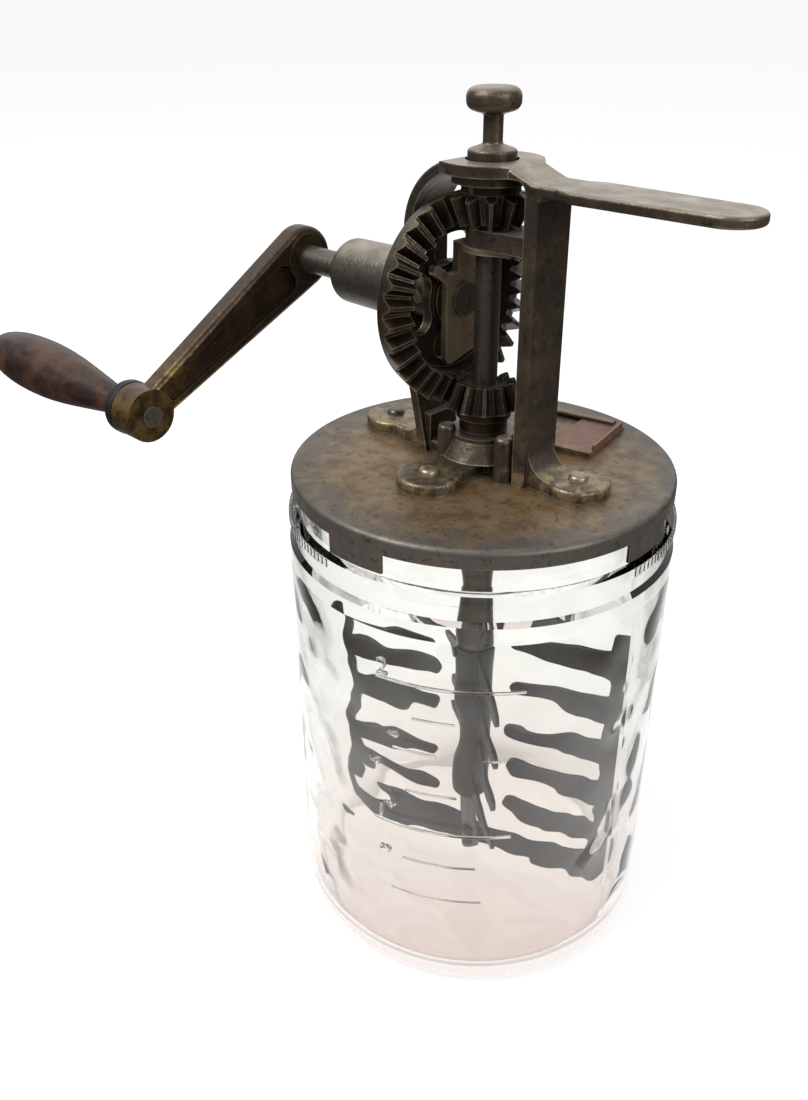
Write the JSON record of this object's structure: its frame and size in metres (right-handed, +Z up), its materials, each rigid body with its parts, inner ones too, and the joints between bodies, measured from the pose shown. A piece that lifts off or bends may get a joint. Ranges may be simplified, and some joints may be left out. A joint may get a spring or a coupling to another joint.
{
  "type": "crank mayonnaise mixer jar",
  "caption": "Glass jar with a tin lid that carries a hand crank, a bevel gear and two counter-turning dashers, a carrying handle and a small sliding filling hatch.",
  "frame": {"origin": "centre of the jar's base, on the face it stands on", "axes": "+Z up along the jar and the dasher spindle; -X along the crank axle towards the crank, so the carrying handle points along +X; +Y towards the filling hatch"},
  "size_m": [0.2774, 0.1509, 0.3],
  "materials": {
    "clear_glass": "clear and slightly wavy",
    "worn_tin": "tinned sheet, dulled and spotted with rust",
    "cast_frame": "dark cast metal, worn bright on the edges",
    "worn_steel": "dull steel",
    "bracket_steel": "steel sheet, worn bright at the lower edge",
    "hatch_sheet": "coppery worn sheet",
    "bronzed_iron": "bronze-brown casting",
    "gear_iron": "near-black brown casting",
    "stained_wood": "dark stained, satin",
    "dark_ferrule": "black",
    "dasher_tin": "tinned sheet, dull"
  },
  "bodies": {
    "jar": {"glass_jar": "clear_glass"},
    "cover": {"lid_cap": "worn_tin", "frame_casting": "cast_frame", "foot_rivet_left": "worn_steel", "foot_rivet_right": "worn_steel", "foot_rivet_front": "worn_steel", "foot_rivet_rear": "worn_steel", "sleeve_bush": "worn_steel", "axle_bracket": "bracket_steel", "bracket_rivet": "worn_steel", "hatch_rail_front": "worn_tin", "hatch_rail_back": "worn_tin"},
    "crank": {"crank_arm": "bronzed_iron", "crank_axle": "worn_steel", "axle_collar": "bronzed_iron", "grip_pin": "worn_steel", "drive_gear": "gear_iron", "gear_pin": "worn_steel"},
    "grip": {"wood_grip": "stained_wood", "ferrule": "dark_ferrule"},
    "spindle": {"spindle_rod": "worn_steel", "lift_knob": "gear_iron", "upper_pinion": "gear_iron", "pinion_pin": "worn_steel", "outer_dasher": "dasher_tin", "dasher_rivet_1": "dasher_tin", "dasher_rivet_2": "dasher_tin"},
    "sleeve": {"lower_pinion": "gear_iron", "sleeve_tube": "worn_steel", "inner_dasher": "dasher_tin", "sleeve_rivet": "dasher_tin"},
    "hatch": {"hatch_plate": "hatch_sheet"}
  },
  "joints": [
    {"name": "lid_lift", "type": "slide", "parent": "jar", "child": "cover", "axis": [0, 0, 1], "range_m": [0, 0.18]},
    {"name": "crank_turn", "type": "hinge", "parent": "cover", "child": "crank", "pos_m": [-0.05, 0, 0.23649], "axis": [-1, 0, 0], "continuous": true},
    {"name": "grip_turn", "type": "hinge", "parent": "crank", "child": "grip", "pos_m": [-0.13, -0.07382, 0.1964], "axis": [-1, 0, 0], "continuous": true},
    {"name": "spindle_turn", "type": "hinge", "parent": "cover", "child": "spindle", "pos_m": [0, 0, 0.23649], "axis": [0, 0, 1], "continuous": true},
    {"name": "sleeve_turn", "type": "hinge", "parent": "cover", "child": "sleeve", "pos_m": [0, 0, 0.23649], "axis": [0, 0, 1], "continuous": true},
    {"name": "hatch_slide", "type": "slide", "parent": "cover", "child": "hatch", "axis": [0.9781, 0.2079, 0], "range_m": [0, 0.01]}
  ],
  "couplings": [
    {"joint": "spindle_turn", "follows": "crank_turn", "ratio": -2.9091},
    {"joint": "sleeve_turn", "follows": "crank_turn", "ratio": 2.9091}
  ]
}
